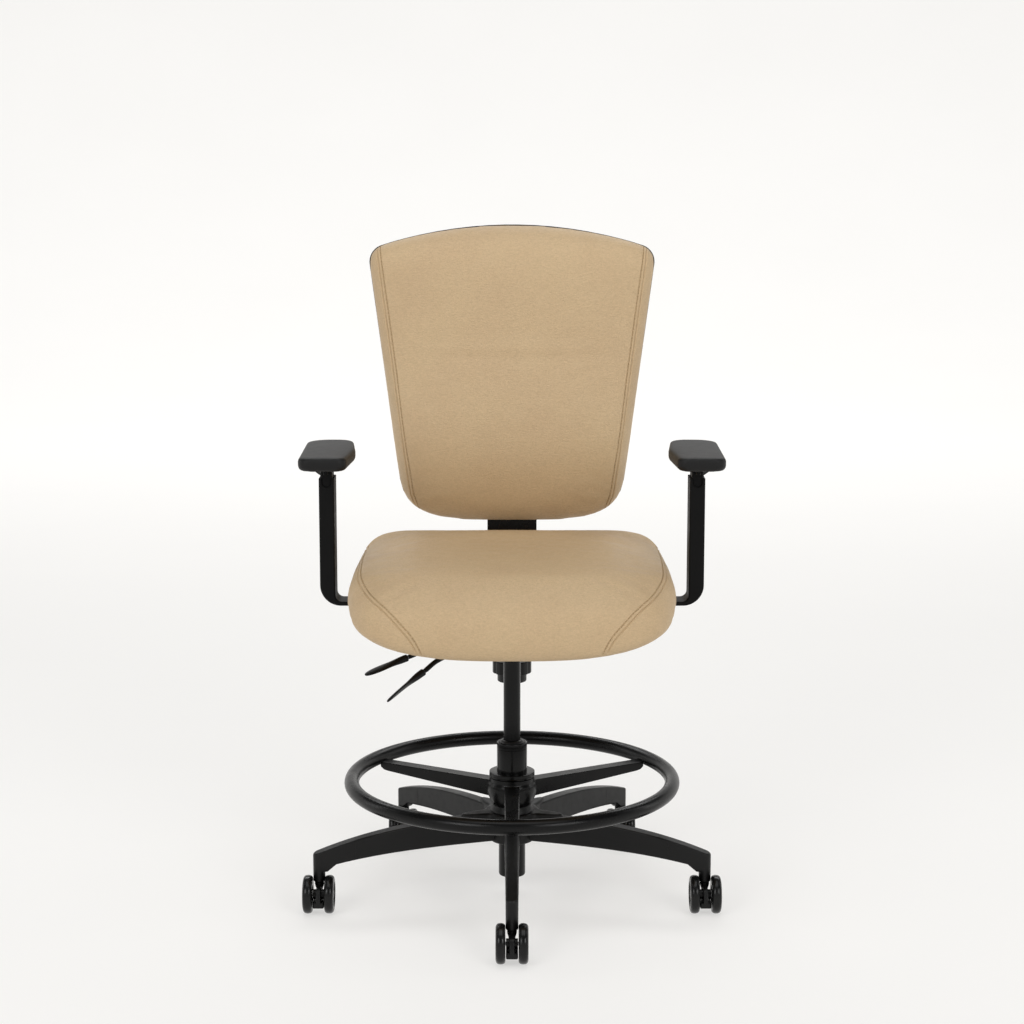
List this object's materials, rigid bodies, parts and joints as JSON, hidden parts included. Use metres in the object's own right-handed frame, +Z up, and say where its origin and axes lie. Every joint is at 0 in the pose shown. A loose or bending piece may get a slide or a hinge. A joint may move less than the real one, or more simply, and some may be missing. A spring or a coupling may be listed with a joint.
{
  "type": "swivel stool",
  "caption": "Drafting-height swivel stool with upholstered seat and back, height-adjustable arms, gas column, foot ring and a five-star base on twin-wheel casters.",
  "frame": {"origin": "middle of the footprint, on the floor", "axes": "+Z up, the seat faces -Y, +X is the sitter's left"},
  "size_m": [0.687, 0.6654, 1.0973],
  "materials": {
    "nylon": "glass-filled nylon, black, satin moulded",
    "coat": "black powder coat, semi-gloss",
    "wheel": "black nylon, smooth",
    "pad_foam": "self-skinned urethane foam, dark grey, matt",
    "leather": "tan upholstery leather, fine grain",
    "plywood": "moulded plywood, lacquered",
    "steel": "bright ground steel",
    "natural_nylon": "unfilled nylon, natural"
  },
  "bodies": {
    "base": {"base_star": "nylon", "column_tube": "coat", "guide_bush": "nylon", "thrust_bearing": "steel", "retaining_clip": "steel"},
    "caster_1": {"caster_1_body": "nylon"},
    "caster_1_wheels": {"caster_1_axle": "steel", "caster_1_wheel_left": "wheel", "caster_1_wheel_right": "wheel"},
    "caster_2": {"caster_2_body": "nylon"},
    "caster_2_wheels": {"caster_2_axle": "steel", "caster_2_wheel_left": "wheel", "caster_2_wheel_right": "wheel"},
    "caster_3": {"caster_3_body": "nylon"},
    "caster_3_wheels": {"caster_3_axle": "steel", "caster_3_wheel_left": "wheel", "caster_3_wheel_right": "wheel"},
    "caster_4": {"caster_4_body": "nylon"},
    "caster_4_wheels": {"caster_4_axle": "steel", "caster_4_wheel_left": "wheel", "caster_4_wheel_right": "wheel"},
    "caster_5": {"caster_5_body": "nylon"},
    "caster_5_wheels": {"caster_5_axle": "steel", "caster_5_wheel_left": "wheel", "caster_5_wheel_right": "wheel"},
    "ring_slide": {"foot_ring_bush": "natural_nylon"},
    "foot_ring": {"foot_ring_hub": "coat", "foot_ring_tube": "coat"},
    "ring_collar": {"foot_ring_collar": "nylon"},
    "lift_rod": {"lift_rod": "steel"},
    "valve": {"valve_pin": "steel"},
    "mechanism": {"gas_cylinder": "coat", "mechanism_housing": "coat", "tilt_pin": "steel", "tension_spring": "steel", "spring_cup": "steel"},
    "tension_knob": {"tension_knob": "nylon"},
    "height_lever": {"height_lever_rod": "coat", "height_lever_paddle": "nylon"},
    "back_lever": {"back_lever_rod": "coat", "back_lever_paddle": "nylon"},
    "seat": {"seat_plate": "coat", "seat_pan": "plywood", "seat_cushion": "leather", "back_hinge_pin": "steel", "arm_upright_left": "coat", "arm_upright_right": "coat"},
    "back_upright": {"back_upright": "coat"},
    "back": {"back_bracket": "nylon", "back_shell": "nylon", "back_cushion": "leather"},
    "arm_left": {"arm_slider_left": "coat", "arm_pad_left": "pad_foam"},
    "arm_tab_left": {"arm_tab_left": "nylon"},
    "arm_right": {"arm_slider_right": "coat", "arm_pad_right": "pad_foam"},
    "arm_tab_right": {"arm_tab_right": "nylon"}
  },
  "joints": [
    {"name": "caster_1_swivel", "type": "hinge", "parent": "base", "child": "caster_1", "pos_m": [0, -0.287, 0.031], "axis": [0, 0, 1], "continuous": true},
    {"name": "caster_1_roll", "type": "hinge", "parent": "caster_1", "child": "caster_1_wheels", "pos_m": [0, -0.302, 0.031], "axis": [1, 0, 0], "continuous": true},
    {"name": "caster_2_swivel", "type": "hinge", "parent": "base", "child": "caster_2", "pos_m": [0.31385, -0.05898, 0.031], "axis": [0, 0, 1], "continuous": true},
    {"name": "caster_2_roll", "type": "hinge", "parent": "caster_2", "child": "caster_2_wheels", "pos_m": [0.31385, -0.07398, 0.031], "axis": [1, 0, 0], "continuous": true},
    {"name": "caster_3_swivel", "type": "hinge", "parent": "base", "child": "caster_3", "pos_m": [0.19397, 0.30998, 0.031], "axis": [0, 0, 1], "continuous": true},
    {"name": "caster_3_roll", "type": "hinge", "parent": "caster_3", "child": "caster_3_wheels", "pos_m": [0.19397, 0.29498, 0.031], "axis": [1, 0, 0], "continuous": true},
    {"name": "caster_4_swivel", "type": "hinge", "parent": "base", "child": "caster_4", "pos_m": [-0.19397, 0.30998, 0.031], "axis": [0, 0, 1], "continuous": true},
    {"name": "caster_4_roll", "type": "hinge", "parent": "caster_4", "child": "caster_4_wheels", "pos_m": [-0.19397, 0.29498, 0.031], "axis": [1, 0, 0], "continuous": true},
    {"name": "caster_5_swivel", "type": "hinge", "parent": "base", "child": "caster_5", "pos_m": [-0.31385, -0.05898, 0.031], "axis": [0, 0, 1], "continuous": true},
    {"name": "caster_5_roll", "type": "hinge", "parent": "caster_5", "child": "caster_5_wheels", "pos_m": [-0.31385, -0.07398, 0.031], "axis": [1, 0, 0], "continuous": true},
    {"name": "foot_ring_height", "type": "slide", "parent": "base", "child": "ring_slide", "axis": [0, 0, 1], "range_m": [0, 0.045]},
    {"name": "foot_ring_turn", "type": "hinge", "parent": "ring_slide", "child": "foot_ring", "pos_m": [0, 0.043, 0.19], "axis": [0, 0, 1], "continuous": true},
    {"name": "ring_clamp_turn", "type": "hinge", "parent": "foot_ring", "child": "ring_collar", "pos_m": [0, 0.043, 0.2], "axis": [0, 0, 1], "range_deg": [0, 90]},
    {"name": "seat_swivel", "type": "hinge", "parent": "base", "child": "lift_rod", "pos_m": [0, 0.043, 0.06], "axis": [0, 0, 1], "continuous": true},
    {"name": "seat_height", "type": "slide", "parent": "lift_rod", "child": "mechanism", "axis": [0, 0, 1], "range_m": [-0.14, 0.01]},
    {"name": "valve_press", "type": "slide", "parent": "mechanism", "child": "valve", "axis": [0, 0, -1], "range_m": [0, 0.004]},
    {"name": "height_lever_lift", "type": "hinge", "parent": "mechanism", "child": "height_lever", "pos_m": [-0.024, 0.038, 0.45], "axis": [0, 1, 0], "range_deg": [0, 8], "stiffness_Nm_per_rad": 6, "springref_deg": -5.73},
    {"name": "back_lever_lift", "type": "hinge", "parent": "mechanism", "child": "back_lever", "pos_m": [-0.024, -0.039, 0.441], "axis": [0, 1, 0], "range_deg": [0, 8], "stiffness_Nm_per_rad": 6, "springref_deg": -5.73},
    {"name": "tension_knob_turn", "type": "hinge", "parent": "mechanism", "child": "tension_knob", "pos_m": [0, 0.128, 0.36], "axis": [0, 0, 1], "continuous": true},
    {"name": "seat_tilt", "type": "hinge", "parent": "mechanism", "child": "seat", "pos_m": [0, -0.012, 0.458], "axis": [-1, 0, 0], "range_deg": [0, 10], "stiffness_Nm_per_rad": 200, "springref_deg": -20.05, "deforming": ["tension_spring"]},
    {"name": "back_recline", "type": "hinge", "parent": "seat", "child": "back_upright", "pos_m": [0, 0.183, 0.462], "axis": [-1, 0, 0], "range_deg": [-5, 15]},
    {"name": "back_height", "type": "slide", "parent": "back_upright", "child": "back", "axis": [0, 0.0896, 0.996], "range_m": [0, 0.07]},
    {"name": "arm_height_left", "type": "slide", "parent": "seat", "child": "arm_left", "axis": [0, 0, 1], "range_m": [0, 0.085]},
    {"name": "arm_release_left", "type": "hinge", "parent": "arm_left", "child": "arm_tab_left", "pos_m": [0.31, 0.043, 0.703], "axis": [0, -1, 0], "range_deg": [0, 10], "stiffness_Nm_per_rad": 0.3, "springref_deg": -11.46},
    {"name": "arm_height_right", "type": "slide", "parent": "seat", "child": "arm_right", "axis": [0, 0, 1], "range_m": [0, 0.085]},
    {"name": "arm_release_right", "type": "hinge", "parent": "arm_right", "child": "arm_tab_right", "pos_m": [-0.31, 0.043, 0.703], "axis": [0, 1, 0], "range_deg": [0, 10], "stiffness_Nm_per_rad": 0.3, "springref_deg": -11.46}
  ],
  "couplings": [
    {"joint": "valve_press", "follows": "height_lever_lift", "m_per_rad": 0.024}
  ]
}
